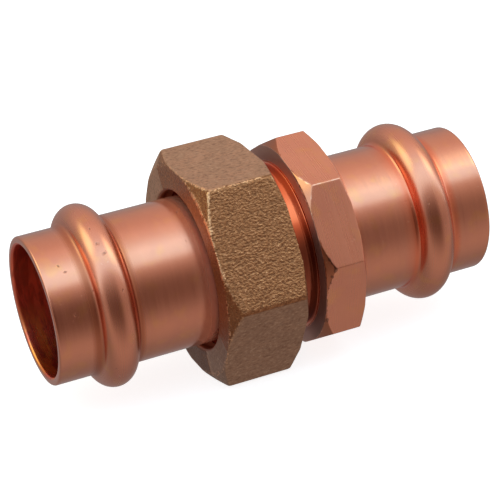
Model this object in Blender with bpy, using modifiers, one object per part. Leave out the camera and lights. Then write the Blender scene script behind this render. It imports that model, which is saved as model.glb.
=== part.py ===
"""Union for copper pipe with a press end on each side: tail piece, union nut, threaded body
and a press seal in each end. The pipe axis is X, with the tail piece towards -X."""

import bmesh
import bpy
from math import atan2, cos, hypot, pi, radians, sin, sqrt, tan

MM = 0.001

# Whole object. Stations are distances from the tail piece's mouth, in metres.
LENGTH = 77.3 * MM
GAP = 0.3 * MM
OVERRUN = 1.5 * MM
ROUND_SIDES = 40

# Press ends, the same on both sides
CUP_R = 12.5 * MM
SOCKET_R = 11.15 * MM
SOCKET_DEPTH = 22.5 * MM
WALL = CUP_R - SOCKET_R
RIM_ROUND = 0.35 * MM
RIM_INNER_ROUND = 0.2 * MM
WATERWAY_R = 9.9 * MM
BEAD_X = 10.33 * MM
BEAD_HEIGHT = 2.92 * MM
BEAD_ARC_R = 3.05 * MM
BEAD_FILLET_R = 0.8 * MM
BEAD_STEPS = 8
FILLET_STEPS = 2

# Seals: round cross-section in each bead
SEAL_SECTION_R = BEAD_ARC_R - WALL - GAP
SEAL_R = CUP_R + BEAD_HEIGHT - BEAD_ARC_R
SEAL_SECTION_SIDES = 8

# Union nut
NUT_LEFT = 26.64 * MM
NUT_RIGHT = 40.46 * MM
NUT_CORNERS = 6
NUT_CORNER_R = 20.65 * MM
NUT_EDGE_ROUND = 0.9 * MM
NUT_FIRST_CORNER = 0.0
NUT_LEFT_CUT = (17.95 * MM, 0.63)
NUT_RIGHT_CUT = (18.34 * MM, 0.50)
NUT_HOLE_R = 13.68 * MM
NUT_HOLE_CHAMFER = 0.3 * MM
NUT_LIP = 2.6 * MM
NUT_ENTRY_CHAMFER = 1.0 * MM

# Union thread, right-handed
PITCH = 25.4 / 12 * MM
FLANK = radians(30)
FLANK_GAP = GAP / cos(FLANK)
THREAD_SINK = 0.4 * MM
MALE_CREST_R = 15.7 * MM
MALE_ROOT_R = 14.45 * MM
NUT_BORE_R = 14.9 * MM
NUT_GROOVE_R = 16.05 * MM
PITCH_R = 15.2 * MM
THREAD_START = 33.75 * MM
MALE_TURNS = 2.75
GROOVE_TURNS = 5.0
GROOVE_LEAD = 1
THREAD_PHASE = radians(4)

# Tail piece inside the nut
COLLAR_LEFT = NUT_LEFT + NUT_LIP + GAP
COLLAR_RIGHT = 32.55 * MM
COLLAR_R = 14.45 * MM
COLLAR_CHAMFER = 0.3 * MM
NOSE_R = 13.0 * MM
NOSE_TIP_R = 11.0 * MM
NOSE_TOUCH = (33.8 * MM, 12.35 * MM)
NOSE_STEPS = 4

# Threaded body
BODY_LEFT = 32.9 * MM
BODY_END_CHAMFER = 0.4 * MM
SEAT_R = 13.7 * MM
SEAT_INNER_R = 11.0 * MM
NECK_LEFT = 40.4 * MM
NECK_R = 14.1 * MM
NECK_STEP = 0.35 * MM
OCTAGON_LEFT = 44.33 * MM
OCTAGON_RIGHT = 51.62 * MM
OCTAGON_CORNERS = 8
OCTAGON_CORNER_R = 18.4 * MM
OCTAGON_EDGE_ROUND = 0.15 * MM
OCTAGON_FIRST_CORNER = radians(7.3)
OCTAGON_LEFT_CUT = (17.1 * MM, 1.2)
OCTAGON_RIGHT_CUT = (17.1 * MM, 0.55)
OCTAGON_BACK_FILLET = 0.6 * MM

COPPER = ((0.72, 0.32, 0.19), 0.3, 1.0)
BRONZE = ((0.36, 0.22, 0.13), 0.55, 0.9)
SEAL_RUBBER = ((0.02, 0.02, 0.022), 0.6, 0.0)

parts = None
cutters = None


def empty_scene():
    for thing in list(bpy.data.objects):
        bpy.data.objects.remove(thing)


def new_collection(name):
    made = bpy.data.collections.new(name)
    bpy.context.scene.collection.children.link(made)
    return made


def new_material(name, colour, roughness, metallic):
    made = bpy.data.materials.new(name)
    made.use_nodes = True
    shader = made.node_tree.nodes["Principled BSDF"]
    shader.inputs["Base Color"].default_value = (*colour, 1.0)
    shader.inputs["Roughness"].default_value = roughness
    shader.inputs["Metallic"].default_value = metallic
    return made


def place_on_axis(thing):
    """Local Z, which shapes are turned about, lies along the pipe axis; x is measured from the centre."""
    thing.rotation_euler = (0.0, pi / 2, 0.0)
    thing.location = (-LENGTH / 2, 0.0, 0.0)


def new_object(name, mesh, collection):
    made = bpy.data.objects.new(name, mesh)
    collection.objects.link(made)
    place_on_axis(made)
    return made


def arc(centre, radius, start, end, steps):
    """Points (x, r) on an arc about centre, with angles in degrees measured from +x towards +r."""
    x, r = centre
    turns = [radians(start + (end - start) * i / steps) for i in range(steps + 1)]
    return [(x + radius * cos(t), r + radius * sin(t)) for t in turns]


def mirrored(points):
    """The same outline seen from the other end of the object, in the other order."""
    return [(LENGTH - x, r) for x, r in reversed(points)]


def turned(name, outline, collection, closed=True):
    """A solid of revolution whose outline of (x, r) goes towards +x on the outside. A closed outline
    is a ring with a hole; an open one starts and ends on the axis."""
    points = [(r, 0.0, x) for x, r in reversed(outline)]
    edges = [(i, i + 1) for i in range(len(points) - 1)]
    if closed:
        edges.append((len(points) - 1, 0))
    mesh = bpy.data.meshes.new(name)
    mesh.from_pydata(points, edges, [])
    made = new_object(name, mesh, collection)
    screw = made.modifiers.new("turn", "SCREW")
    screw.axis = "Z"
    screw.angle = 2 * pi
    screw.steps = screw.render_steps = ROUND_SIDES
    screw.use_merge_vertices = True
    screw.merge_threshold = 0.00001
    return made


def as_mesh(thing):
    """The object with its modifiers made part of its mesh."""
    depsgraph = bpy.context.evaluated_depsgraph_get()
    mesh = bpy.data.meshes.new_from_object(thing.evaluated_get(depsgraph))
    thing.modifiers.clear()
    thing.data = mesh
    return thing


def prism(name, corners, corner_r, first_corner, left, right, edge_round, collection):
    """A prism along the axis. A corner's direction is measured from -Y towards +Z."""
    mesh = bpy.data.meshes.new(name)
    bm = bmesh.new()
    bmesh.ops.create_cone(
        bm, cap_ends=True, segments=corners, radius1=corner_r, radius2=corner_r, depth=right - left
    )
    first = bm.verts[:][0].co
    wanted = atan2(-cos(first_corner), -sin(first_corner))
    turn = wanted - atan2(first.y, first.x)
    for vert in bm.verts:
        x, y, z = vert.co
        vert.co = (x * cos(turn) - y * sin(turn), x * sin(turn) + y * cos(turn), z + (left + right) / 2)
    bm.normal_update()
    long_edges = [e for e in bm.edges if abs(e.verts[0].co.z - e.verts[1].co.z) > (right - left) / 2]
    bmesh.ops.bevel(bm, geom=long_edges, offset=edge_round, segments=2, profile=0.5, affect="EDGES")
    bm.to_mesh(mesh)
    bm.free()
    return new_object(name, mesh, collection)


def helix(name, section, start, turns, collection):
    """A closed ridge whose section, a loop of (x, r) about its middle, climbs one pitch each turn."""
    mesh = bpy.data.meshes.new(name)
    phase_cos, phase_sin = cos(THREAD_PHASE), sin(THREAD_PHASE)
    loop = [(r * phase_cos, r * phase_sin, start + x) for x, r in reversed(section)]
    edges = [(i, (i + 1) % len(loop)) for i in range(len(loop))]
    mesh.from_pydata(loop, edges, [])
    made = new_object(name, mesh, collection)
    screw = made.modifiers.new("wind", "SCREW")
    screw.axis = "Z"
    screw.angle = 2 * pi * turns
    screw.screw_offset = PITCH * turns
    screw.steps = screw.render_steps = int(ROUND_SIDES * turns)
    screw.use_merge_vertices = False
    as_mesh(made)
    bm = bmesh.new()
    bm.from_mesh(made.data)
    bmesh.ops.holes_fill(bm, edges=[e for e in bm.edges if e.is_boundary], sides=0)
    bmesh.ops.recalc_face_normals(bm, faces=bm.faces)
    bm.to_mesh(made.data)
    bm.free()
    return made


def combine(thing, other, operation):
    step = thing.modifiers.new(f"{operation.lower()} {other.name}", "BOOLEAN")
    step.operation = operation
    step.solver = "EXACT"
    step.object = other
    other.hide_render = True
    other.display_type = "WIRE"


def bead_line(middle, tube_r, arc_r, fillet_r, centre_r):
    """The bead's outline from its left foot to its right foot: fillet, arc, fillet."""
    across = sqrt((arc_r + fillet_r) ** 2 - (tube_r + fillet_r - centre_r) ** 2)
    lift = atan2(tube_r + fillet_r - centre_r, across) * 180 / pi
    left = arc((middle - across, tube_r + fillet_r), fillet_r, -90, -lift, FILLET_STEPS)
    crown = arc((middle, centre_r), arc_r, 180 - lift, lift, BEAD_STEPS)
    right = arc((middle + across, tube_r + fillet_r), fillet_r, 180 + lift, 270, FILLET_STEPS)
    return left + crown[1:-1] + right


def press_end_outside():
    """From the mouth's face, over the bead, to the plain tube behind it."""
    rim = arc((RIM_ROUND, CUP_R - RIM_ROUND), RIM_ROUND, 180, 90, FILLET_STEPS)
    return rim + bead_line(BEAD_X, CUP_R, BEAD_ARC_R, BEAD_FILLET_R, SEAL_R)


def press_end_inside():
    """From the pipe stop, under the bead, to the mouth's face."""
    groove = bead_line(BEAD_X, SOCKET_R, BEAD_ARC_R - WALL, BEAD_FILLET_R + WALL, SEAL_R)
    lip = arc((RIM_INNER_ROUND, SOCKET_R + RIM_INNER_ROUND), RIM_INNER_ROUND, -90, -180, 2)
    stop = [(SOCKET_DEPTH, WATERWAY_R), (SOCKET_DEPTH, SOCKET_R)]
    return stop + list(reversed(groove)) + lip


def nose_line():
    """The tail piece's round sealing face: a sphere about the pipe axis."""
    touch_x, touch_r = NOSE_TOUCH
    centre_x = touch_x - touch_r
    sphere_r = hypot(touch_x - centre_x, touch_r)
    start = atan2(NOSE_R, sqrt(sphere_r**2 - NOSE_R**2)) * 180 / pi
    end = atan2(NOSE_TIP_R, sqrt(sphere_r**2 - NOSE_TIP_R**2)) * 180 / pi
    return arc((centre_x, 0.0), sphere_r, start, end, NOSE_STEPS)


def tail_piece(copper):
    nose = nose_line()
    tip_x = nose[-1][0]
    collar = [
        (COLLAR_LEFT, CUP_R),
        (COLLAR_LEFT, COLLAR_R - COLLAR_CHAMFER),
        (COLLAR_LEFT + COLLAR_CHAMFER, COLLAR_R),
        (COLLAR_RIGHT - COLLAR_CHAMFER, COLLAR_R),
        (COLLAR_RIGHT, COLLAR_R - COLLAR_CHAMFER),
        (COLLAR_RIGHT, NOSE_R),
    ]
    outline = press_end_outside() + collar + nose + [(tip_x, WATERWAY_R)] + press_end_inside()
    made = turned("tail_piece", outline, parts)
    made.data.materials.append(copper)


def thread_section(crest_r, base_r, half_width):
    """A ridge with 30 degree flanks, as (x, r) about its middle; half_width is taken at PITCH_R."""
    crest = half_width - (crest_r - PITCH_R) * tan(FLANK)
    base = half_width + (PITCH_R - base_r) * tan(FLANK)
    return [(-base, base_r), (-crest, crest_r), (crest, crest_r), (base, base_r)]


def take_corners_off(prism_object, left, right, left_cut, right_cut, corner_r):
    """Turns a cone on both ends of a prism. A cut is (radius left on the end face, slope of the cone)."""
    over = corner_r * 1.1
    (left_r, left_slope), (right_r, right_slope) = left_cut, right_cut
    outline = [
        (left - GAP, 0.0),
        (left - GAP, left_r - GAP / left_slope),
        (left + (over - left_r) * left_slope, over),
        (right - (over - right_r) * right_slope, over),
        (right + GAP, right_r - GAP / right_slope),
        (right + GAP, 0.0),
    ]
    envelope = turned(prism_object.name + "_envelope", outline, cutters, closed=False)
    combine(prism_object, envelope, "INTERSECT")


def union_nut(bronze):
    made = prism(
        "union_nut", NUT_CORNERS, NUT_CORNER_R, NUT_FIRST_CORNER, NUT_LEFT, NUT_RIGHT, NUT_EDGE_ROUND, parts
    )
    take_corners_off(made, NUT_LEFT, NUT_RIGHT, NUT_LEFT_CUT, NUT_RIGHT_CUT, NUT_CORNER_R)
    lip_right = NUT_LEFT + NUT_LIP
    bore = [
        (NUT_LEFT - OVERRUN, 0.0),
        (NUT_LEFT - OVERRUN, NUT_HOLE_R + NUT_HOLE_CHAMFER + OVERRUN),
        (NUT_LEFT + NUT_HOLE_CHAMFER, NUT_HOLE_R),
        (lip_right, NUT_HOLE_R),
        (lip_right, NUT_BORE_R),
        (NUT_RIGHT - NUT_ENTRY_CHAMFER, NUT_BORE_R),
        (NUT_RIGHT + OVERRUN, NUT_BORE_R + NUT_ENTRY_CHAMFER + OVERRUN),
        (NUT_RIGHT + OVERRUN, 0.0),
    ]
    combine(made, turned("nut_bore", bore, cutters, closed=False), "DIFFERENCE")
    groove = thread_section(NUT_GROOVE_R, NUT_BORE_R - THREAD_SINK, PITCH / 4 + FLANK_GAP / 2)
    start = THREAD_START - GROOVE_LEAD * PITCH
    combine(made, helix("nut_thread", groove, start, GROOVE_TURNS, cutters), "DIFFERENCE")
    made.data.materials.append(bronze)


def wrench_octagon():
    """The eight flats, as a ring that the turned body fills."""
    made = prism(
        "octagon",
        OCTAGON_CORNERS,
        OCTAGON_CORNER_R,
        OCTAGON_FIRST_CORNER,
        OCTAGON_LEFT,
        OCTAGON_RIGHT,
        OCTAGON_EDGE_ROUND,
        cutters,
    )
    take_corners_off(
        made, OCTAGON_LEFT, OCTAGON_RIGHT, OCTAGON_LEFT_CUT, OCTAGON_RIGHT_CUT, OCTAGON_CORNER_R
    )
    inside_wall = (WATERWAY_R + CUP_R) / 2
    hole = [
        (OCTAGON_LEFT - OVERRUN, 0.0),
        (OCTAGON_LEFT - OVERRUN, inside_wall),
        (OCTAGON_RIGHT + OVERRUN, inside_wall),
        (OCTAGON_RIGHT + OVERRUN, 0.0),
    ]
    combine(made, turned("octagon_hole", hole, cutters, closed=False), "DIFFERENCE")
    return made


def threaded_body(copper):
    fillet_centre = (OCTAGON_RIGHT + OCTAGON_BACK_FILLET, CUP_R + OCTAGON_BACK_FILLET)
    back_fillet = arc(fillet_centre, OCTAGON_BACK_FILLET, 200, 270, FILLET_STEPS)
    seat_floor = BODY_LEFT + SEAT_R - SEAT_INNER_R
    outside = [
        (BODY_LEFT, MALE_ROOT_R - BODY_END_CHAMFER),
        (BODY_LEFT + BODY_END_CHAMFER, MALE_ROOT_R),
        (NECK_LEFT - NECK_STEP, MALE_ROOT_R),
        (NECK_LEFT, NECK_R),
        (OCTAGON_RIGHT - OVERRUN, NECK_R),
        (OCTAGON_RIGHT - OVERRUN, back_fillet[0][1]),
        *back_fillet,
        *mirrored(press_end_outside()),
    ]
    inside = [
        *mirrored(press_end_inside()),
        (seat_floor, WATERWAY_R),
        (seat_floor, SEAT_INNER_R),
        (BODY_LEFT, SEAT_R),
    ]
    made = turned("threaded_body", outside + inside, parts)
    combine(made, wrench_octagon(), "UNION")
    ridge = thread_section(MALE_CREST_R, MALE_ROOT_R - THREAD_SINK, PITCH / 4 - FLANK_GAP / 2)
    combine(made, helix("body_thread", ridge, THREAD_START, MALE_TURNS, cutters), "UNION")
    made.data.materials.append(copper)


def press_seal(name, middle, rubber):
    ring = arc((middle, SEAL_R), SEAL_SECTION_R, 180, -180, SEAL_SECTION_SIDES)[:-1]
    made = turned(name, ring, parts)
    made.data.materials.append(rubber)


def main():
    global parts, cutters
    empty_scene()
    parts = new_collection("pipe_union")
    cutters = new_collection("cutters")
    copper = new_material("copper", *COPPER)
    bronze = new_material("cast_bronze", *BRONZE)
    rubber = new_material("seal_rubber", *SEAL_RUBBER)
    tail_piece(copper)
    union_nut(bronze)
    threaded_body(copper)
    press_seal("tail_press_seal", BEAD_X, rubber)
    press_seal("body_press_seal", LENGTH - BEAD_X, rubber)


main()
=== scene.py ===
"""Looks of the pipe union: turned copper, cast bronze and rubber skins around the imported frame."""

from math import atan2, cos, degrees, pi, radians, sin, sqrt, tan

import bpy
import numpy as np
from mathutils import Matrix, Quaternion, Vector


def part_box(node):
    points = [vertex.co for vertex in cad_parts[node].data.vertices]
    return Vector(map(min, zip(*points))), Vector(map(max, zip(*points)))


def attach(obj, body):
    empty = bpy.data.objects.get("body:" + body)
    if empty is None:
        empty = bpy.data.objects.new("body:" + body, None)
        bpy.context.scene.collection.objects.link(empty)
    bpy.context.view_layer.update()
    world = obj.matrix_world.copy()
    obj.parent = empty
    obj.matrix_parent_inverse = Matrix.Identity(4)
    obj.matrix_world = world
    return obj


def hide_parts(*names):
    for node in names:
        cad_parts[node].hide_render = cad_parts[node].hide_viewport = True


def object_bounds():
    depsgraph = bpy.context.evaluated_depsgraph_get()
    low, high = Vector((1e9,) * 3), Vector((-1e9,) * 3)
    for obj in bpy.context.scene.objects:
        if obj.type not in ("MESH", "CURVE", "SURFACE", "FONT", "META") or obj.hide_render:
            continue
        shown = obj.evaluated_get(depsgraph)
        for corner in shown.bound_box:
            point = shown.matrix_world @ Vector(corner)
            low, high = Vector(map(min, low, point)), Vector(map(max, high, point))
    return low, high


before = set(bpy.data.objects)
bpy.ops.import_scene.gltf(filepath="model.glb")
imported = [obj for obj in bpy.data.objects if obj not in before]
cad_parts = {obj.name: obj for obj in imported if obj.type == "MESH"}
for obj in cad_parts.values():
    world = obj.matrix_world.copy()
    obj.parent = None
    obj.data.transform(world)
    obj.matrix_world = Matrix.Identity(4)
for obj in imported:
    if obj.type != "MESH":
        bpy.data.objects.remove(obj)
cad_low, cad_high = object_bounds()
nut_low, nut_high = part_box("union_nut")

MM = 0.001

# Driving dimensions, repeated from the part. Stations are distances from the tail piece's mouth.
LENGTH = cad_high.x - cad_low.x
GAP = 0.3 * MM
CUP_R = 12.5 * MM
SOCKET_R = 11.15 * MM
SOCKET_DEPTH = 22.5 * MM
WALL = CUP_R - SOCKET_R
RIM_ROUND = 0.4 * MM
WATERWAY_R = 9.9 * MM
BEAD_X = 10.33 * MM
BEAD_HEIGHT = 2.92 * MM
BEAD_ARC_R = 3.05 * MM
BEAD_FILLET_R = 0.8 * MM
SEAL_SECTION_R = BEAD_ARC_R - WALL - GAP
SEAL_R = CUP_R + BEAD_HEIGHT - BEAD_ARC_R

NUT_LEFT = nut_low.x - cad_low.x
NUT_RIGHT = nut_high.x - cad_low.x
NUT_FLAT_R = nut_high.z
NUT_CORNERS = 6
NUT_FIRST_CORNER = 0.0
NUT_CORNER_ROUND = 1.1 * MM
NUT_LEFT_CUT = (17.95 * MM, 0.63)
NUT_RIGHT_CUT = (18.34 * MM, 0.50)
NUT_EDGE_SOFTNESS = 0.4 * MM
NUT_HOLE_R = 13.68 * MM
NUT_HOLE_CHAMFER = 0.3 * MM
NUT_LIP = 2.6 * MM
NUT_BORE_R = 14.9 * MM
NUT_GROOVE_R = 16.05 * MM
NUT_ENTRY_CHAMFER = 1.0 * MM

PITCH = 25.4 / 12 * MM
FLANK = radians(30)
FLANK_GAP = GAP / cos(FLANK)
PITCH_R = 15.2 * MM
MALE_CREST_R = 15.7 * MM
MALE_ROOT_R = 14.45 * MM
THREAD_START = 33.75 * MM
MALE_TURNS = 2.75
GROOVE_TURNS = 5.0
THREAD_DIRECTION = 266.0

COLLAR_LEFT = NUT_LEFT + NUT_LIP + GAP
COLLAR_RIGHT = 32.55 * MM
COLLAR_R = 14.45 * MM
NOSE_R = 13.0 * MM
NOSE_TIP_R = 11.0 * MM
NOSE_TOUCH = (33.8 * MM, 12.35 * MM)

BODY_LEFT = 32.9 * MM
SEAT_R = 13.7 * MM
SEAT_INNER_R = 11.0 * MM
NECK_LEFT = 40.1 * MM
NECK_R = 14.1 * MM
OCTAGON_LEFT = 44.33 * MM
OCTAGON_RIGHT = 51.62 * MM
OCTAGON_CORNERS = 8
OCTAGON_FLAT_R = 18.4 * MM * cos(pi / OCTAGON_CORNERS)
OCTAGON_FIRST_CORNER = 7.3
OCTAGON_CORNER_ROUND = 0.35 * MM
OCTAGON_LEFT_CUT = (17.1 * MM, 1.2)
OCTAGON_RIGHT_CUT = (17.1 * MM, 0.55)
OCTAGON_EDGE_SOFTNESS = 0.18 * MM
OCTAGON_BACK_FILLET = 0.6 * MM

# How finely the skins are drawn: steps around the pipe in degrees, and along it
DIRECTION_STEP = 1.25
CORNER_OFFSETS = (0.3, 0.65, 1.05, 1.5)
ROUND_STEPS = 4
THREAD_STATION = 0.14 * MM
SHORTEST_BREAK = 0.06 * MM
HAIR = 0.05 * MM

# The photographer's place: directions in degrees, distance, where the camera looks, and its lens in mm
CAMERA_AZIMUTH = -20.96
CAMERA_ELEVATION = 25.41
CAMERA_ROLL = -5.9
CAMERA_DISTANCE = 343 * MM
CAMERA_AIM = (-0.26 * MM, 0.09 * MM, 0.44 * MM)
CAMERA_LENS = 147.25


# ---------------------------------------------------------------- outlines
# An outline is a list of points (x, r). It goes towards +x on the outside of a piece. Where a shape varies
# around the pipe, each point is an array of [direction, (x, r)].


def spot(x, r):
    return np.stack(np.broadcast_arrays(np.asarray(x, float), np.asarray(r, float)), -1)


def arc(centre, radius, start, end, step=6.0):
    """Points on an arc, with angles in degrees measured from +x towards +r."""
    x, r = centre
    count = max(2, round(abs(end - start) / step))
    return [spot(x + radius * cos(t), r + radius * sin(t)) for t in np.radians(np.linspace(start, end, count + 1))]


def mirrored(outline):
    """The same outline at the other end of the object, in the other order."""
    return [spot(LENGTH - p[..., 0], p[..., 1]) for p in reversed(outline)]


def between(first, last, count):
    """Points along a straight stretch, without its ends, closer together near them."""
    shares = (1 - np.cos(np.linspace(0, pi, count + 2)[1:-1])) / 2
    return [first + (last - first) * share for share in shares]


def joined(*stretches, count=6):
    outline = list(stretches[0])
    for stretch in stretches[1:]:
        outline += between(outline[-1], stretch[0], count) + list(stretch)
    return outline


def softened(corners, cut, along=6):
    """The outline through these corners, each rounded from a distance cut before it to as far after it."""
    outline = [corners[0]]
    for before, corner, after in zip(corners, corners[1:], corners[2:]):
        back, on = before - corner, after - corner
        back_length = np.linalg.norm(back, axis=-1, keepdims=True)
        on_length = np.linalg.norm(on, axis=-1, keepdims=True)
        reach = np.minimum(cut, 0.42 * np.minimum(back_length, on_length))
        start, end = corner + back * reach / back_length, corner + on * reach / on_length
        outline += between(outline[-1], start, along)
        for t in np.linspace(0, 1, ROUND_STEPS + 1):
            outline.append((1 - t) ** 2 * start + 2 * t * (1 - t) * corner + t * t * end)
    return outline + between(outline[-1], corners[-1], along) + [corners[-1]]


def bead_line(middle, tube_r, arc_r, fillet_r, centre_r):
    """A rolled bead from its left foot to its right foot, in three arcs."""
    across = sqrt((arc_r + fillet_r) ** 2 - (tube_r + fillet_r - centre_r) ** 2)
    lift = degrees(atan2(tube_r + fillet_r - centre_r, across))
    left = arc((middle - across, tube_r + fillet_r), fillet_r, -90, -lift, 10)
    crown = arc((middle, centre_r), arc_r, 180 - lift, lift)
    right = arc((middle + across, tube_r + fillet_r), fillet_r, 180 + lift, 270, 10)
    return left + crown[1:-1] + right


def press_end_outside():
    """From the mouth's face, over the bead, to the plain tube behind it."""
    rim = arc((RIM_ROUND, CUP_R - RIM_ROUND), RIM_ROUND, 180, 90, 15)
    return joined(rim, bead_line(BEAD_X, CUP_R, BEAD_ARC_R, BEAD_FILLET_R, SEAL_R))


def press_end_inside():
    """From the pipe stop, under the bead, to the mouth's face."""
    groove = bead_line(BEAD_X, SOCKET_R, BEAD_ARC_R - WALL, BEAD_FILLET_R + WALL, SEAL_R)
    lip = arc((RIM_ROUND, SOCKET_R + RIM_ROUND), RIM_ROUND, -90, -180, 15)
    stop = [spot(SOCKET_DEPTH, WATERWAY_R), spot(SOCKET_DEPTH, SOCKET_R)]
    return joined(stop, list(reversed(groove)), lip)


# ---------------------------------------------------------------- directions and polygons
# A direction is an angle in degrees about the pipe, from -Y towards +Z.


def directions(corners=0, first_corner=0.0):
    """Evenly spread directions, with more beside each corner."""
    found = list(np.arange(0, 360, DIRECTION_STEP))
    for i in range(corners):
        corner = first_corner + 360 * i / corners
        found.append(corner)
        found += [corner + side * offset for side in (-1, 1) for offset in CORNER_OFFSETS]
    return np.unique(np.round(np.mod(found, 360), 3))


def from_corner(around, corners, first_corner):
    """How far each direction is from the nearest corner, in radians."""
    sector = 360 / corners
    return np.radians(np.abs((around - first_corner + sector / 2) % sector - sector / 2))


def polygon_radius(around, corners, first_corner, flat_r, corner_round):
    """Radius of a polygon with rounded corners in each direction."""
    off = from_corner(around, corners, first_corner)
    half_sector = pi / corners
    centre_r = (flat_r - corner_round) / cos(half_sector)
    flat = flat_r / np.cos(half_sector - off)
    inside = np.maximum(corner_round**2 - (centre_r * np.sin(off)) ** 2, 0)
    rounded = centre_r * np.cos(off) + np.sqrt(inside)
    touches = np.arctan2(flat_r * tan(half_sector) - corner_round * tan(half_sector), flat_r)
    return np.where(off < half_sector - touches, rounded, flat)


def prism_corners(flat_line, left, right, left_cut, right_cut):
    """Four corners of a prism's outline, whose ends are turned off to a cone."""
    left_depth = np.maximum((flat_line - left_cut[0]) * left_cut[1], SHORTEST_BREAK)
    right_depth = np.maximum((flat_line - right_cut[0]) * right_cut[1], SHORTEST_BREAK)
    return [
        spot(left, flat_line - left_depth / left_cut[1]),
        spot(left + left_depth, flat_line),
        spot(right - right_depth, flat_line),
        spot(right, flat_line - right_depth / right_cut[1]),
    ]


def thread_line(around, left, right, base_r, ridge_r, half_width, start, turns):
    """Outline points from left to right along a thread: it stands ridge_r tall where a ridge passes."""
    outer, inner = max(base_r, ridge_r), min(base_r, ridge_r)
    turn = ((THREAD_DIRECTION - around) % 360) / 360
    outline = []
    for x in np.linspace(left, right, round((right - left) / THREAD_STATION)):
        place = (x - start) / PITCH - turn
        nearest = np.clip(np.round(place), -turn, turns - turn)
        away = np.abs(place - nearest) * PITCH
        r = PITCH_R + (half_width - away) / tan(FLANK)
        outline.append(spot(x, np.clip(r, inner, outer)))
    return outline


# ---------------------------------------------------------------- skins


def skin(name, outline, around, attributes=None):
    """A smooth closed mesh over an outline and the directions around the pipe."""
    count = len(around)
    points = np.stack([np.broadcast_to(p, (count, 2)) for p in outline])
    turn = np.radians(around)
    x, r = points[..., 0], points[..., 1]
    places = np.stack([x - LENGTH / 2, -r * np.cos(turn), r * np.sin(turn)], -1).reshape(-1, 3)
    i, j = np.meshgrid(np.arange(len(outline)), np.arange(count), indexing="ij")
    i_next, j_next = (i + 1) % len(outline), (j + 1) % count
    corners = [i * count + j, i_next * count + j, i_next * count + j_next, i * count + j_next]
    faces = np.stack(corners, -1).reshape(-1, 4)
    mesh = bpy.data.meshes.new(name)
    mesh.from_pydata(places.tolist(), [], faces.tolist())
    mesh.polygons.foreach_set("use_smooth", np.ones(len(mesh.polygons), bool))
    zones = attributes(x, r, np.broadcast_to(around, x.shape)) if attributes else {}
    for key, values in zones.items():
        layer = mesh.attributes.new(key, "FLOAT", "POINT")
        layer.data.foreach_set("value", np.asarray(values, np.float32).ravel())
    mesh.update()
    made = bpy.data.objects.new(name, mesh)
    bpy.context.scene.collection.objects.link(made)
    return made


def stands_for(piece, node, body, material):
    piece.data.materials.append(material)
    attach(piece, body)
    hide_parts(node)


def window(values, start, end, soft):
    """1 between start and end, 0 outside, with soft borders."""
    rise = np.clip((values - start) / soft + 0.5, 0, 1)
    fall = np.clip((end - values) / soft + 0.5, 0, 1)
    return rise * rise * (3 - 2 * rise) * fall * fall * (3 - 2 * fall)


def near_edge(x, r, around, shape, slack, reach):
    """1 within slack of an edge where two faces of a prism meet, falling to 0 over about reach beyond it."""
    corners, first_corner, flat_r, left, right, left_cut, right_cut = shape
    off = from_corner(around, corners, first_corner)
    this_flat = flat_r - r * np.cos(pi / corners - off)
    next_flat = flat_r - r * np.cos(pi / corners + off)
    left_cone = (left_cut[0] - r) * left_cut[1] + x - left
    right_cone = (right_cut[0] - r) * right_cut[1] + right - x
    cones = [left_cone / sqrt(1 + left_cut[1] ** 2), right_cone / sqrt(1 + right_cut[1] ** 2)]
    away = np.sort(np.abs(np.stack([this_flat, next_flat, x - left, right - x, *cones])), axis=0)[1]
    return np.exp(-np.maximum(away - slack, 0) / reach)


def sides(around, *ranges):
    """1 in any of these ranges of directions, each given as its start, its end and how soft its ends are."""
    signed = (around + 180) % 360 - 180
    return np.max([window(signed, *each) for each in ranges], axis=0)


NUT_SHAPE = (NUT_CORNERS, NUT_FIRST_CORNER, NUT_FLAT_R, NUT_LEFT, NUT_RIGHT, NUT_LEFT_CUT, NUT_RIGHT_CUT)
OCTAGON_SHAPE = (
    OCTAGON_CORNERS,
    OCTAGON_FIRST_CORNER,
    OCTAGON_FLAT_R,
    OCTAGON_LEFT,
    OCTAGON_RIGHT,
    OCTAGON_LEFT_CUT,
    OCTAGON_RIGHT_CUT,
)


# Ranges of directions from -180 to 180 degrees: start, end, softness of the ends
NUT_ROUGH_FLATS = ((-1, 60, 3), (120, 180, 3), (-120, -62, 3))
NUT_PITTED_ENDS = ((68, 119, 6), (-140, -68, 6))
NUT_GRAINY_END = (-30, 80, 8)
NUT_GOLDEN_END = (-32, 84, 24)
NUT_STAINED_END = (-140, -68, 6)
NUT_SPOTTED_END = (72, 118, 8)
# painted shade on the nut's ends and on its lower front flat
NUT_SHADED_END = (-68, 84, 14)
NUT_SHADED_FLAT = (-62, -1, 4)
# worn edges painted brighter where they face the overhead light
NUT_EDGES_PAINTED_BRIGHTER = (16, 70, 8)
NUT_DULL_CREASE = (-4, 4, 2)
# worn edges and turned-off corners painted brighter where they face the overhead light
OCTAGON_EDGES_PAINTED_BRIGHTER = (42, 62, 10)
OCTAGON_CONE_PAINTED_LIGHTER = (42, 68, 8)
OCTAGON_CHIPPED_CREASES = (-34, 14, 8)
# painted shade in the neck facing down; painted light low in the mouth
NECK_PAINTED_SHADE = (-50, 30, 24)
MOUTH_FLOOR_PAINTED_LIGHT = (-150, -30, 40)


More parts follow.
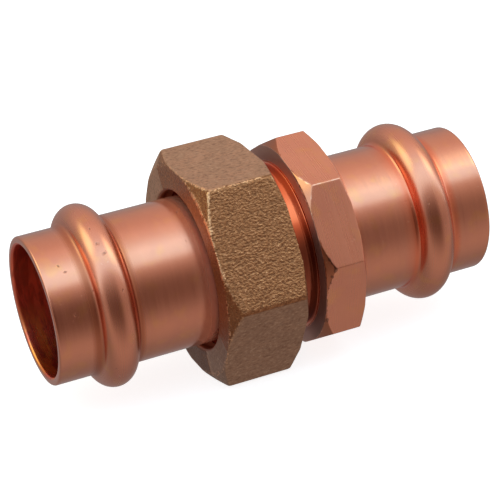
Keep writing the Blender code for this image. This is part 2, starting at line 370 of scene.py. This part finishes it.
def nut_zones(x, r, around):
    """Where the nut is rough from its mould, golden from wear, stained or hollow; painted shade darkens its hollow,
    its right end, its lower front flat and part of its left end.
    """
    outside = (r > NUT_HOLE_R + 0.2 * MM) & ((x < NUT_LEFT + 0.5 * MM) | (r > NUT_GROOVE_R + 0.1 * MM))
    reach = r * np.cos(pi / NUT_CORNERS - from_corner(around, NUT_CORNERS, NUT_FIRST_CORNER))
    flat = np.clip((reach - (NUT_FLAT_R - 0.25 * MM)) / (0.2 * MM), 0, 1) * outside
    end = (1 - flat) * outside
    left_end = end * (x < (NUT_LEFT + NUT_RIGHT) / 2)
    right_end = end - left_end
    outer = np.clip((reach - (NUT_FLAT_R - 2.4 * MM)) / (1.8 * MM), 0, 1)
    grainy_end = sides(around, NUT_GRAINY_END) * (0.62 + 0.3 * outer)
    rough_end = np.maximum(sides(around, *NUT_PITTED_ENDS), grainy_end)
    stains = np.maximum(sides(around, NUT_STAINED_END), 0.2 * sides(around, NUT_SPOTTED_END))
    # painted shade: the lower front flat darker
    shaded_flat = 0.55 * flat * sides(around, NUT_SHADED_FLAT)
    edge = near_edge(x, r, around, NUT_SHAPE, 0.12 * MM, 0.2 * MM) * outside
    # worn edges, painted brighter where they face the overhead light
    edge = edge * (0.62 + 0.38 * sides(around, NUT_EDGES_PAINTED_BRIGHTER))
    edge = edge * (1 - 0.8 * sides(around, NUT_DULL_CREASE) * (x > NUT_LEFT + 2.6 * MM))
    return {
        "rough": flat * sides(around, *NUT_ROUGH_FLATS) + end * rough_end,
        "golden": left_end * sides(around, NUT_GOLDEN_END) * (0.75 + 0.25 * outer),
        "stained": left_end * stains,
        "edge": edge * np.where(x < NUT_RIGHT - 0.9 * MM, 1.0, 0.5),
        "hollow": 1.0 - outside,
        # painted shade: part of the left end, the right end that faces the octagon, and the lower front flat
        "shaded": left_end * sides(around, NUT_SHADED_END) + 0.9 * right_end + shaded_flat,
    }


def octagon_zones(x, r, around):
    """Where the copper is worn light on its edges, painted brighter where they face the overhead light; deep red
    inside; painted deep red in the neck and beside the octagon's back as reflections; painted shade on its corners,
    in the neck and in the bead's feet; grey on the turned face.
    """
    on = (x > OCTAGON_LEFT - HAIR) & (x < OCTAGON_RIGHT + HAIR) & (r > NECK_R + 0.3 * MM)
    face = on * (x < OCTAGON_LEFT + HAIR)
    past_face = on * (x > OCTAGON_LEFT + HAIR)
    past_cone = (OCTAGON_LEFT_CUT[0] - r) * OCTAGON_LEFT_CUT[1] + x - OCTAGON_LEFT
    cone = past_face * (past_cone < 0.06 * MM)
    neck = (x > NECK_LEFT) * (x < OCTAGON_LEFT) * (r < NECK_R + 0.1 * MM) * (r > CUP_R)
    beside = window(x, OCTAGON_RIGHT, OCTAGON_RIGHT + 1.5 * MM, 1.4 * MM) * (r < CUP_R + 0.8 * MM)
    edge = near_edge(x, r, around, OCTAGON_SHAPE, 0.03 * MM, 0.14 * MM) * on
    crease = near_edge(x, r, around, OCTAGON_SHAPE, 0.03 * MM, 0.25 * MM) * on
    outside = 1 - inside(r)
    return {
        # worn edges, painted brighter where they face the overhead light
        "edge": edge * (0.45 + 0.55 * sides(around, OCTAGON_EDGES_PAINTED_BRIGHTER)),
        "inside": inside(r),
        "neck": neck,
        # painted reflection and shade: the neck deep red for copper mirrored in copper, the bead's feet darker, the
        # tube beside the octagon's back redder for the octagon mirrored in it
        "deep": neck + (0.55 * foot(LENGTH - x) + 0.3 * beside) * outside,
        "flat": past_face * (1 - cone),
        "face": face,
        # painted shade: the turned-off corners darker, less so where they face the overhead light
        "cone": cone * (1 - 0.45 * sides(around, OCTAGON_CONE_PAINTED_LIGHTER)),
        # painted shade: the neck and the turned face darker on the side facing down
        "shade": (neck + face) * sides(around, NECK_PAINTED_SHADE),
        "bead": bead(LENGTH - x) * outside,
        "stained": crease * (x < OCTAGON_LEFT + 2.4 * MM) * sides(around, OCTAGON_CHIPPED_CREASES),
    }


def inside(r):
    return (r < SOCKET_R + 0.35 * MM) * 1.0


def bead(x):
    return window(x, BEAD_X - 4.2 * MM, BEAD_X + 4.2 * MM, 1.0 * MM)


def foot(x):
    """The two hollows beside a bead."""
    return window(np.abs(x - BEAD_X), 3.1 * MM, 4.3 * MM, 0.8 * MM)


def tail_zones(x, r, around):
    """Deeper inside, painted light low in the mouth, softer over the bead, painted shade in the bead's feet, and
    duller near the nut as painted light standing in for the nut's lit face mirrored there.
    """
    outside = 1 - inside(r)
    return {
        "inside": inside(r),
        # painted light low in the mouth
        "lit": inside(r) * sides(around, MOUTH_FLOOR_PAINTED_LIGHT) * window(x, -5 * MM, 14 * MM, 5 * MM),
        "bead": bead(x) * outside,
        # painted shade in the hollows beside the bead
        "foot": foot(x) * outside,
        # painted light: duller copper near the nut, standing in for the nut's lit face mirrored in the tube
        "painted_light_near_nut": window(x, NUT_LEFT - 1.3 * MM, NUT_LEFT + 2.0 * MM, 1.6 * MM) * outside,
    }


# ---------------------------------------------------------------- pieces


def nose_line():
    touch_x, touch_r = NOSE_TOUCH
    centre_x = touch_x - touch_r
    sphere_r = sqrt((touch_x - centre_x) ** 2 + touch_r**2)
    start = degrees(atan2(NOSE_R, sqrt(sphere_r**2 - NOSE_R**2)))
    end = degrees(atan2(NOSE_TIP_R, sqrt(sphere_r**2 - NOSE_TIP_R**2)))
    return arc((centre_x, 0.0), sphere_r, start, end, 2)


def tail_skin(copper):
    nose = nose_line()
    collar = softened(
        [
            spot(COLLAR_LEFT, CUP_R),
            spot(COLLAR_LEFT, COLLAR_R),
            spot(COLLAR_RIGHT, COLLAR_R),
            spot(COLLAR_RIGHT, NOSE_R),
        ],
        0.3 * MM,
        along=3,
    )
    tip = spot(nose[-1][0], WATERWAY_R)
    outline = joined(press_end_outside(), collar, nose, [tip], press_end_inside())
    made = skin("tail_copper", outline, directions(), tail_zones)
    stands_for(made, "tail_piece", "tail", copper)


def nut_skin(bronze):
    around = directions(NUT_CORNERS, NUT_FIRST_CORNER)
    flat_line = polygon_radius(around, NUT_CORNERS, NUT_FIRST_CORNER, NUT_FLAT_R, NUT_CORNER_ROUND)
    lip_right = NUT_LEFT + NUT_LIP
    groove = (PITCH / 4 + FLANK_GAP / 2, THREAD_START - PITCH, GROOVE_TURNS)
    entry = NUT_RIGHT - NUT_ENTRY_CHAMFER
    thread = thread_line(around, lip_right + 0.2 * MM, entry, NUT_BORE_R, NUT_GROOVE_R, *groove)
    outside = softened(
        [
            spot(NUT_LEFT + NUT_HOLE_CHAMFER, np.full_like(around, NUT_HOLE_R)),
            spot(NUT_LEFT, np.full_like(around, NUT_HOLE_R + NUT_HOLE_CHAMFER)),
            *prism_corners(flat_line, NUT_LEFT, NUT_RIGHT, NUT_LEFT_CUT, NUT_RIGHT_CUT),
            spot(NUT_RIGHT, np.full_like(around, NUT_BORE_R + NUT_ENTRY_CHAMFER)),
            thread[-1],
        ],
        NUT_EDGE_SOFTNESS,
        along=9,
    )
    inside = list(reversed(thread))[1:] + [spot(lip_right, NUT_BORE_R), spot(lip_right, NUT_HOLE_R)]
    made = skin("nut_bronze", outside + inside, around, nut_zones)
    stands_for(made, "union_nut", "nut", bronze)


def body_skin(copper):
    around = directions(OCTAGON_CORNERS, OCTAGON_FIRST_CORNER)
    flat_line = polygon_radius(
        around, OCTAGON_CORNERS, OCTAGON_FIRST_CORNER, OCTAGON_FLAT_R, OCTAGON_CORNER_ROUND
    )
    ridge = (PITCH / 4 - FLANK_GAP / 2, THREAD_START, MALE_TURNS)
    thread_end = THREAD_START + (MALE_TURNS + 0.5) * PITCH
    neck = [
        spot(BODY_LEFT, MALE_ROOT_R - 0.4 * MM),
        spot(BODY_LEFT + 0.4 * MM, MALE_ROOT_R),
        *thread_line(around, BODY_LEFT + 0.5 * MM, thread_end, MALE_ROOT_R, MALE_CREST_R, *ridge),
        spot(NECK_LEFT, MALE_ROOT_R),
        spot(NECK_LEFT + 0.2 * MM, NECK_R),
    ]
    tube_line = spot(OCTAGON_RIGHT + OCTAGON_BACK_FILLET, np.full_like(around, CUP_R))
    octagon = softened(
        [
            spot(NECK_LEFT + 0.6 * MM, np.full_like(around, NECK_R)),
            spot(OCTAGON_LEFT, np.full_like(around, NECK_R)),
            *prism_corners(flat_line, OCTAGON_LEFT, OCTAGON_RIGHT, OCTAGON_LEFT_CUT, OCTAGON_RIGHT_CUT),
            spot(OCTAGON_RIGHT, np.full_like(around, CUP_R)),
            tube_line,
        ],
        OCTAGON_EDGE_SOFTNESS,
        along=7,
    )
    seat_floor = BODY_LEFT + SEAT_R - SEAT_INNER_R
    seat = [spot(seat_floor, WATERWAY_R), spot(seat_floor, SEAT_INNER_R), spot(BODY_LEFT, SEAT_R)]
    outline = neck + joined(octagon, mirrored(press_end_outside()))
    outline = joined(outline, mirrored(press_end_inside()), seat)
    made = skin("body_copper", outline, around, octagon_zones)
    stands_for(made, "threaded_body", "threaded_end", copper)


def seal_skin(name, node, body, middle, rubber):
    ring = arc((middle, SEAL_R), SEAL_SECTION_R, 180, -180, 15)[:-1]
    stands_for(skin(name, ring, directions()), node, body, rubber)


# ---------------------------------------------------------------- materials


class Nodes:
    """Builds a node tree line by line."""

    def __init__(self, tree):
        self.tree = tree
        tree.nodes.clear()

    def add(self, kind, settings=None, inputs=None):
        node = self.tree.nodes.new("ShaderNode" + kind)
        for key, value in (settings or {}).items():
            setattr(node, key, value)
        for key, value in (inputs or {}).items():
            self.set(node.inputs[key], value)
        return node

    def set(self, socket, value):
        if isinstance(value, bpy.types.NodeSocket):
            self.tree.links.new(value, socket)
        else:
            socket.default_value = value

    def math(self, operation, *values):
        node = self.add("Math", {"operation": operation})
        for socket, value in zip(node.inputs, values):
            self.set(socket, value)
        return node.outputs[0]

    def stretched(self, scale):
        """Object coordinates, in metres, times a scale for each axis."""
        place = self.add("TexCoord").outputs["Object"]
        return self.add("VectorMath", {"operation": "MULTIPLY"}, {0: place, 1: scale}).outputs[0]

    def noise(self, scale, detail=2.0, roughness=0.5, distortion=0.0):
        """Noise from 0 to 1; scale is features per metre along x, y and z."""
        inputs = {"Vector": self.stretched(scale), "Scale": 1.0, "Detail": detail}
        inputs |= {"Roughness": roughness, "Distortion": distortion}
        return self.add("TexNoise", {"normalize": True}, inputs).outputs["Fac"]

    def ramp(self, value, low, high, first=0.0, last=1.0):
        """value taken from low..high to first..last, held at both ends."""
        inputs = {"Value": value, "From Min": low, "From Max": high, "To Min": first, "To Max": last}
        return self.add("MapRange", {"interpolation_type": "SMOOTHSTEP"}, inputs).outputs[0]

    def mix(self, share, first, second, blend="MIX"):
        node = self.add("Mix", {"data_type": "RGBA", "blend_type": blend})
        for index, value in ((0, share), (6, first), (7, second)):
            if isinstance(value, tuple):
                value = (*value, 1.0)
            self.set(node.inputs[index], value)
        return node.outputs[2]

    def patch(self, turn, around, x, along):
        """1 in a soft-edged patch of directions: around in degrees, along as the x of the direction."""
        sides = [
            self.ramp(turn, radians(around[0]), radians(around[1])),
            self.ramp(turn, radians(around[2]), radians(around[3]), 1.0, 0.0),
            self.ramp(x, along[0], along[1]),
            self.ramp(x, along[2], along[3], 1.0, 0.0),
        ]
        return self.math("MULTIPLY", self.math("MULTIPLY", *sides[:2]), self.math("MULTIPLY", *sides[2:]))

    def attribute(self, name):
        return self.add("Attribute", {"attribute_name": name}).outputs["Fac"]

    def total(self, value, *terms):
        """value plus each term, given as (value, weight)."""
        for term, weight in terms:
            value = self.math("MULTIPLY_ADD", term, weight, value)
        return value

    def by_zone(self, value, weights):
        """value plus a weight for each zone of the mesh."""
        return self.total(value, *((self.attribute(zone), weight) for zone, weight in weights.items()))

    def laid(self, colour, over, share, weight):
        """A colour with another laid over it, as far as share times weight."""
        return self.mix(self.math("MULTIPLY", share, weight), colour, over)

    def bump(self, height, distance):
        return self.add("Bump", None, {"Height": height, "Distance": distance}).outputs[0]

    def finish(self, inputs):
        shader = self.add("BsdfPrincipled", None, inputs)
        output = self.add("OutputMaterial")
        self.tree.links.new(shader.outputs[0], output.inputs[0])


def new_material(name):
    made = bpy.data.materials.new(name)
    made.use_nodes = True
    return made, Nodes(made.node_tree)


def same_each_way(per_metre):
    return (per_metre, per_metre, per_metre)


COPPER = (0.86, 0.305, 0.178)
COPPER_TARNISH = (0.78, 0.27, 0.17)
COPPER_PALE = (0.93, 0.45, 0.30)
COPPER_GOLDEN = (0.88, 0.33, 0.15)
# painted reflection and shade: the neck, the bead's feet and the tube beside the octagon
COPPER_DEEP_REFLECTION_AND_SHADE = (0.93, 0.14, 0.042)
COPPER_INSIDE = (0.94, 0.185, 0.10)
COPPER_INSIDE_DARK = (0.50, 0.09, 0.05)
# painted light low in the mouth
COPPER_INSIDE_LIT = (1.0, 0.31, 0.075)
COPPER_FACE = (0.36, 0.175, 0.13)
# painted light near the nut
COPPER_NEAR_NUT = (0.80, 0.27, 0.16)
# painted shade on the octagon's corners and in the bead's feet
COPPER_SHADED = (0.42, 0.12, 0.05)
COPPER_FOOT_SHADE = (0.55, 0.15, 0.07)
COPPER_STAIN = (0.13, 0.045, 0.03)

# How much rougher than plain copper each zone is, and how much of its metallic shine is taken away: on the turned
# face, and near the nut as painted light standing in for the nut's lit face mirrored in the tube
COPPER_ROUGHER = {
    "flat": 0.09,
    "deep": -0.09,
    "bead": 0.08,
    "inside": 0.20,
    "lit": -0.12,
    "face": 0.18,
    "foot": 0.1,
}
COPPER_DULLER = {"face": -0.5, "painted_light_near_nut": -0.35}
COPPER_RELIEF = 0.004 * MM

# Small dents in the tail piece: station in mm, direction in degrees, radius in mm
DENTS = (
    (10.2, 50.0, 0.55),
    (9.7, 57.0, 0.4),
    (11.2, 25.5, 0.35),
    (9.6, 70.0, 0.35),
    (3.6, 17.0, 0.3),
    (3.2, 55.0, 0.35),
    (3.9, 49.0, 0.3),
    (25.2, 76.0, 0.25),
)


def dent_depth(n):
    """How deep each point is in the nearest dent: 1 in the middle, 0 outside. Dents lie on the tube or its bead."""
    place = n.add("TexCoord").outputs["Object"]
    uneven = n.ramp(n.noise(same_each_way(2600)), 0.3, 0.7, -0.15 * MM, 0.25 * MM)
    total = None
    for station, direction, size in DENTS:
        turn, station = radians(direction), station * MM
        across = max(BEAD_ARC_R**2 - (station - BEAD_X) ** 2, 0)
        r = max(CUP_R, SEAL_R + sqrt(across))
        centre = (station - LENGTH / 2, -r * cos(turn), r * sin(turn))
        away = n.add("VectorMath", {"operation": "DISTANCE"}, {0: place, 1: centre}).outputs["Value"]
        depth = n.ramp(n.math("ADD", away, uneven), 0.1 * size * MM, size * MM, 1.0, 0.0)
        total = depth if total is None else n.math("MAXIMUM", total, depth)
    return total


def copper_inside(n):
    """The colour inside the pipe, in dark streaks around it, with bright streaks of painted light low in the mouth.
    """
    streaks = n.ramp(n.noise((500, 90, 90), 3.0, 0.6, 0.4), 0.48, 0.60, 0.0, 0.75)
    # painted light: bright streaks low in the mouth
    lit = n.math("MULTIPLY", n.attribute("lit"), n.ramp(n.noise((420, 160, 160), 3.0, 0.6), 0.45, 0.6))
    return n.mix(lit, n.mix(streaks, COPPER_INSIDE, COPPER_INSIDE_DARK), COPPER_INSIDE_LIT)


def copper_material():
    """Drawn and turned copper: faint marks around the pipe, light tarnish, small pits, pale worn edges painted
    brighter where they face the overhead light, and painted shade, light and reflections in the neck, corners, bead
    feet, mouth and near the nut.
    """
    made, n = new_material("satin_copper")
    flat = n.attribute("flat")
    marks = n.math("SUBTRACT", n.noise((9000, 200, 200), 3.0, 0.6), 0.5)
    marked = n.by_zone(1.0, {"bead": -0.8, "flat": -0.5})
    lines = n.math("MULTIPLY_ADD", marks, marked, 0.5)
    bands = n.noise((700, 50, 50), 2.0, 0.5)
    scratches = n.noise((3000, 90, 260), 3.0, 0.6)
    turned = n.noise((2600, 40, 40), 2.0, 0.5)
    clouds = n.noise(same_each_way(330), 2.0)
    patches = n.noise(same_each_way(160), 3.0, 0.55)
    mottle = n.noise(same_each_way(900), 2.0, 0.5)
    pits = n.noise(same_each_way(1500), 2.0, 0.5)
    pit = n.math("MULTIPLY", n.ramp(pits, 0.71, 0.76, 0.0, 0.6), n.ramp(n.noise(same_each_way(120)), 0.5, 0.6))
    dent = dent_depth(n)
    specks = n.math("MULTIPLY", n.ramp(n.noise(same_each_way(2400)), 0.62, 0.72), n.ramp(patches, 0.55, 0.65))
    edge = n.ramp(n.math("ADD", n.attribute("edge"), n.ramp(mottle, 0.3, 0.7, -0.5, 0.3)), 0.5, 0.95)
    chips = n.ramp(n.math("ADD", n.attribute("stained"), n.ramp(mottle, 0.3, 0.7, -0.5, 0.5)), 0.75, 0.9)

    colour = n.mix(n.ramp(patches, 0.35, 0.7, 0.0, 0.6), COPPER, COPPER_TARNISH)
    colour = n.mix(n.ramp(clouds, 0.5, 0.75, 0.0, 0.8), colour, COPPER_GOLDEN)
    colour = n.mix(n.ramp(lines, 0.5, 0.75, 0.0, 0.1), colour, COPPER_PALE)
    layers = [
        (COPPER_PALE, specks, 0.5),
        (COPPER_PALE, flat, n.ramp(scratches, 0.5, 0.75, 0.0, 0.08)),
        # painted reflection and shade in the neck, the bead's feet and beside the octagon
        (COPPER_DEEP_REFLECTION_AND_SHADE, n.attribute("deep"), 0.88),
        # painted shade in the hollows beside the bead
        (COPPER_FOOT_SHADE, n.attribute("foot"), 0.85),
        # painted light near the nut
        (COPPER_NEAR_NUT, n.attribute("painted_light_near_nut"), 0.8),
        (copper_inside(n), n.attribute("inside"), 1.0),
        (COPPER_FACE, n.attribute("face"), 0.85),
        # painted shade on the octagon's turned-off corners
        (COPPER_SHADED, n.attribute("cone"), 0.8),
        # painted shade in the neck and on the turned face
        (COPPER_STAIN, n.attribute("shade"), 0.7),
        # pale worn edges, part wear and part painted highlight
        (COPPER_PALE, edge, 0.85),
        (COPPER_STAIN, chips, 0.65),
    ]
    for over, share, weight in layers:
        colour = n.laid(colour, over, share, weight)
    spots = n.math("MAXIMUM", n.math("MULTIPLY", pit, 0.35), n.math("MULTIPLY", dent, 0.5))
    colour = n.mix(spots, colour, COPPER_STAIN)

    roughness = n.math("ADD", n.ramp(lines, 0.3, 0.7, 0.165, 0.20), n.ramp(bands, 0.3, 0.7, -0.01, 0.02))
    height = n.total(
        n.math("MULTIPLY", lines, 0.15),
        (bands, 6.0),
        (n.math("MULTIPLY", scratches, flat), 0.04),
        (mottle, 0.9),
        (n.math("MULTIPLY", turned, n.attribute("neck")), 6.0),
        (n.math("MAXIMUM", pit, dent), -9.0),
    )
    n.finish(
        {
            "Base Color": colour,
            "Metallic": n.by_zone(1.0, COPPER_DULLER),
            "Roughness": n.by_zone(roughness, COPPER_ROUGHER),
            "Normal": n.bump(height, COPPER_RELIEF),
        }
    )
    return made


BRONZE_SMOOTH = (0.68, 0.325, 0.175)
BRONZE_DULL = (0.55, 0.275, 0.155)
BRONZE_BROWN = (0.27, 0.100, 0.043)
BRONZE_GOLD = (0.51, 0.193, 0.079)
BRONZE_OCHRE = (0.30, 0.095, 0.032)
BRONZE_PEAK = (0.93, 0.44, 0.22)
BRONZE_STAIN = (0.20, 0.085, 0.05)
# painted shade on the nut's faces and in its hollow
BRONZE_SHADED = (0.36, 0.17, 0.10)
BRONZE_HOLLOW_SHADE = (0.36, 0.14, 0.075)
BRONZE_SPECK = (0.80, 0.46, 0.28)
BRONZE_RELIEF = 0.25 * MM


def bronze_material():
    """Cast bronze: a grain of small lumps where the mould left it, smooth tarnish where it was ground,
    golden where it is worn and painted brighter on edges facing the overhead light; painted shade in its hollow and
    on some faces."""
    made, n = new_material("cast_bronze")
    lumps = n.noise((2250, 2900, 2900), 2.0, 0.5, 0.1)
    grit = n.noise(same_each_way(5200), 2.0, 0.6)
    clouds = n.noise(same_each_way(230), 3.0, 0.6)
    mottle = n.noise(same_each_way(1100), 3.0, 0.6)
    speckle = n.noise((1500, 2000, 2000), 3.0, 0.65)
    grain = n.math("ADD", n.math("MULTIPLY", lumps, 0.8), n.math("MULTIPLY", grit, 0.2))
    rough = n.ramp(n.math("ADD", n.attribute("rough"), n.ramp(clouds, 0.3, 0.7, -0.2, 0.2)), 0.3, 0.7)
    stained = n.ramp(n.math("ADD", n.attribute("stained"), n.ramp(mottle, 0.3, 0.7, -0.4, 0.4)), 0.3, 0.8)
    uneven = n.ramp(n.math("ADD", lumps, mottle), 0.7, 1.3, -0.5, 0.35)
    worn = n.ramp(n.math("ADD", n.attribute("edge"), uneven), 0.55, 0.9)

    smooth_colour = n.mix(n.ramp(clouds, 0.35, 0.65, 0.0, 0.7), BRONZE_SMOOTH, BRONZE_DULL)
    smooth_colour = n.mix(n.ramp(mottle, 0.42, 0.65, 0.0, 0.6), smooth_colour, BRONZE_DULL)
    # painted shade laid over the smooth bronze
    smooth_colour = n.laid(smooth_colour, BRONZE_SHADED, n.attribute("shaded"), 0.8)
    smooth_colour = n.mix(n.ramp(speckle, 0.50, 0.68, 0.0, 0.55), smooth_colour, BRONZE_BROWN)
    smooth_colour = n.mix(n.ramp(speckle, 0.46, 0.30, 0.0, 0.55), smooth_colour, BRONZE_SPECK)
    cast_colour = n.mix(n.ramp(grain, 0.34, 0.58, 0.08, 0.92), BRONZE_BROWN, BRONZE_GOLD)
    cast_colour = n.mix(n.ramp(grain, 0.60, 0.72, 0.0, 0.8), cast_colour, BRONZE_PEAK)
    colour = n.mix(rough, smooth_colour, cast_colour)
    colour = n.laid(colour, BRONZE_OCHRE, n.attribute("golden"), n.ramp(mottle, 0.3, 0.7, 0.45, 0.85))
    colour = n.laid(colour, BRONZE_STAIN, stained, 0.8)
    # painted shade: the nut's hole, bore and thread darker
    colour = n.mix(n.attribute("hollow"), colour, BRONZE_HOLLOW_SHADE)
    # golden worn edges, part wear and part painted highlight
    colour = n.laid(colour, BRONZE_PEAK, worn, 0.85)
    relief = n.math("MULTIPLY", grain, n.ramp(rough, 0.0, 1.0, 0.2, 1.0))
    n.finish(
        {
            "Base Color": colour,
            "Metallic": 1.0,
            "Roughness": n.total(n.ramp(clouds, 0.3, 0.7, 0.40, 0.48), (worn, -0.06)),
            "Normal": n.bump(relief, BRONZE_RELIEF),
        }
    )
    return made


RUBBER = (0.012, 0.012, 0.013)
RUBBER_PALE = (0.03, 0.03, 0.032)
RUBBER_RELIEF = 0.02 * MM


def rubber_material():
    """Black rubber with a fine matt grain."""
    made, n = new_material("seal_rubber")
    fine = n.noise(same_each_way(2500), 3.0)
    n.finish(
        {
            "Base Color": n.mix(fine, RUBBER, RUBBER_PALE),
            "Roughness": n.ramp(fine, 0.3, 0.7, 0.5, 0.65),
            "Normal": n.bump(fine, RUBBER_RELIEF),
        }
    )
    return made


# ---------------------------------------------------------------- stage

# The studio around the pipe's axis, by direction from -Y towards +Z: brightness and coolness of the light
STUDIO = (
    (-180, 0.36, 0.1),
    (-150, 0.33, 0.1),
    (-110, 0.27, 0.1),
    (-87, 0.31, 0.1),
    (-70, 0.38, 0.05),
    (-55, 0.42, 0.0),
    (-38, 0.42, 0.0),
    (-22, 0.39, 0.0),
    (-7, 0.34, -0.1),
    (9, 0.32, -0.1),
    (25, 0.44, -0.1),
    (40, 0.60, 0.05),
    (47, 0.80, 0.3),
    (54, 1.50, 0.85),
    (60, 1.75, 1.0),
    (74, 1.85, 0.95),
    (83, 1.45, 0.8),
    (92, 1.15, 0.5),
    (105, 0.92, 0.2),
    (121, 0.71, 0.0),
    (140, 0.62, 0.0),
    (158, 0.53, 0.05),
    (168, 0.43, 0.1),
)
# Patches of the studio: where each begins, is full, starts to fade and ends, around the pipe in degrees, then
# along it as the x of the direction; then its colour. The dark corner hides what is there, the lamps add to it.
DARK_CORNER = ((-50, 0, 12, 55), (-0.99, -0.80, 0.10, 0.62), (0.125, 0.098, 0.09))
SOFTBOXES = (
    ((80, 104, 124, 146), (-0.94, -0.78, -0.56, -0.30), (0.95, 1.60, 1.10)),
    ((66, 76, 90, 108), (0.38, 0.54, 0.76, 0.92), (1.00, 1.40, 0.90)),
)


def tinted(light, coolness):
    return (light * (1 - 0.4 * coolness), light, light * (1 + 0.29 * coolness))


def studio():
    """A bright strip overhead, soft grey walls, two soft lamps, and a dark corner beside the photographer."""
    world = bpy.data.worlds.new("studio")
    bpy.context.scene.world = world
    world.use_nodes = True
    n = Nodes(world.node_tree)
    place = n.add("SeparateXYZ", None, {0: n.add("TexCoord").outputs["Generated"]})
    turn = n.math("ARCTAN2", place.outputs[2], n.math("MULTIPLY", place.outputs[1], -1.0))
    ramp = n.add("ValToRGB", None, {0: n.math("ADD", n.math("DIVIDE", turn, 2 * pi), 0.5)})
    stops = ramp.color_ramp.elements
    while len(stops) < len(STUDIO):
        stops.new(0.5)
    for stop, (direction, light, coolness) in zip(stops, STUDIO):
        stop.position = direction / 360 + 0.5
        stop.color = (*tinted(light, coolness), 1.0)
    around, along, colour = DARK_CORNER
    light = n.mix(n.patch(turn, around, place.outputs[0], along), ramp.outputs[0], colour)
    for around, along, colour in SOFTBOXES:
        light = n.mix(n.patch(turn, around, place.outputs[0], along), light, colour, "ADD")
    background = n.add("Background", None, {"Color": light, "Strength": 1.0})
    output = n.add("OutputWorld")
    n.tree.links.new(background.outputs[0], output.inputs[0])


# Warm enough to look white under the cool overhead light
PAPER_TINT = (1.0, 0.84, 0.79)
FLOOR_SIZE, FLOOR_ALBEDO, FLOOR_GLOW = 6.0, 0.5, 0.85
BACKDROP_R, BACKDROP_ALBEDO, BACKDROP_GLOW = 5.0, 0.0, 1.0


def stage_material(name, albedo, glow):
    """Pale paper, with a faint unevenness."""
    made, n = new_material(name)
    base = tuple(albedo * c for c in PAPER_TINT)
    tint = n.mix(n.noise(same_each_way(30)), base, tuple(0.99 * c for c in base))
    n.finish({"Base Color": tint, "Roughness": 0.8, "Emission Color": (1, 1, 1, 1), "Emission Strength": glow})
    return made


def floor_and_backdrop():
    """A pale floor, and a pale wall all round it. Neither shows in the metal, which mirrors the studio."""
    bpy.ops.mesh.primitive_plane_add(size=FLOOR_SIZE, location=(0, 0, cad_low.z - 0.02 * MM))
    floor = bpy.context.object
    bpy.ops.mesh.primitive_uv_sphere_add(segments=64, ring_count=32, radius=BACKDROP_R)
    backdrop = bpy.context.object
    backdrop.visible_diffuse = backdrop.visible_shadow = False
    pieces = ((floor, "floor", FLOOR_ALBEDO, FLOOR_GLOW), (backdrop, "backdrop", BACKDROP_ALBEDO, BACKDROP_GLOW))
    for made, name, albedo, glow in pieces:
        made.name = name
        made.data.materials.append(stage_material("pale_" + name, albedo, glow))
        made.visible_glossy = False


def camera():
    data = bpy.data.cameras.new("camera")
    data.sensor_width = 36.0
    data.lens = CAMERA_LENS
    data.clip_start, data.clip_end = 0.01, 20.0
    made = bpy.data.objects.new("camera", data)
    azimuth, elevation = radians(CAMERA_AZIMUTH), radians(CAMERA_ELEVATION)
    back = Vector((sin(azimuth) * cos(elevation), -cos(azimuth) * cos(elevation), sin(elevation)))
    made.location = Vector(CAMERA_AIM) + back * CAMERA_DISTANCE
    made.rotation_mode = "QUATERNION"
    roll = Quaternion((0, 0, 1), radians(CAMERA_ROLL))
    made.rotation_quaternion = (-back).to_track_quat("-Z", "Y") @ roll
    bpy.context.scene.collection.objects.link(made)
    bpy.context.scene.camera = made


copper = copper_material()
bronze = bronze_material()
rubber = rubber_material()
tail_skin(copper)
nut_skin(bronze)
body_skin(copper)
seal_skin("tail_seal_ring", "tail_press_seal", "tail_carrier", BEAD_X, rubber)
seal_skin("body_seal_ring", "body_press_seal", "threaded_end", LENGTH - BEAD_X, rubber)

studio()
floor_and_backdrop()
camera()
bpy.context.scene.view_settings.view_transform = "Standard"
